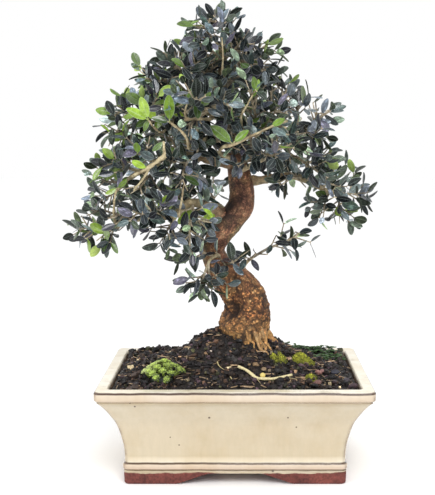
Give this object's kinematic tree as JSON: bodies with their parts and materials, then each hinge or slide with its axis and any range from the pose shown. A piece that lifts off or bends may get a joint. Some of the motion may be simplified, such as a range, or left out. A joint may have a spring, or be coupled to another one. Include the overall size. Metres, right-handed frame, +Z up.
{
  "type": "olive bonsai tree in a rectangular pot",
  "caption": "Small-leaved olive bonsai with an S-curved trunk and a dense round crown, standing in soil in a rectangular glazed pot with flared walls, a broad rim and low feet.",
  "frame": {"origin": "under the middle of the whole outline, on the surface that the pot stands on", "axes": "+Z up along the tree, +X to the right and -Y towards the viewer, square to the pot's long front"},
  "size_m": [0.2986, 0.2278, 0.4498],
  "materials": {
    "glaze": "gloss",
    "screen": "matte",
    "soil": "matte",
    "bark": "matte",
    "succulent": "satin",
    "straw": "matte",
    "foliage": "satin"
  },
  "bodies": {
    "root": {"pot": "glaze", "drain_screen_left": "screen", "drain_screen_right": "screen", "soil": "soil", "trunk_and_branches": "bark", "ground_rosettes": "succulent", "dry_stalk": "straw", "spray_back_high_1": "foliage", "spray_back_left_1": "foliage", "spray_back_left_2": "foliage", "spray_back_left_3": "foliage", "spray_back_low_1": "foliage", "spray_back_low_2": "foliage", "spray_back_right_1": "foliage", "spray_back_right_2": "foliage", "spray_back_right_3": "foliage", "spray_front_1": "foliage", "spray_front_right_1": "foliage", "spray_front_right_2": "foliage", "spray_high_left_1": "foliage", "spray_high_left_2": "foliage", "spray_high_left_3": "foliage", "spray_high_left_4": "foliage", "spray_high_left_5": "foliage", "spray_high_right_1": "foliage", "spray_high_right_2": "foliage", "spray_high_right_3": "foliage", "spray_high_right_4": "foliage", "spray_high_right_5": "foliage", "spray_leader_1": "foliage", "spray_leader_2": "foliage", "spray_leader_3": "foliage", "spray_leader_4": "foliage", "spray_low_left_1": "foliage", "spray_low_left_2": "foliage", "spray_low_left_3": "foliage", "spray_low_left_4": "foliage", "spray_low_left_5": "foliage", "spray_low_left_6": "foliage", "spray_low_right_1": "foliage", "spray_low_right_2": "foliage", "spray_low_right_3": "foliage", "spray_low_right_4": "foliage", "spray_low_right_5": "foliage", "spray_mid_left_1": "foliage", "spray_mid_left_2": "foliage", "spray_mid_left_3": "foliage", "spray_mid_left_4": "foliage", "spray_mid_left_5": "foliage", "spray_mid_left_6": "foliage", "spray_mid_right_1": "foliage", "spray_mid_right_2": "foliage", "spray_mid_right_3": "foliage", "spray_top_left_1": "foliage", "spray_top_left_2": "foliage", "spray_top_left_3": "foliage", "spray_top_right_1": "foliage", "spray_top_right_2": "foliage", "spray_twig_left_1": "foliage", "spray_twig_right_1": "foliage"}
  },
  "joints": []
}
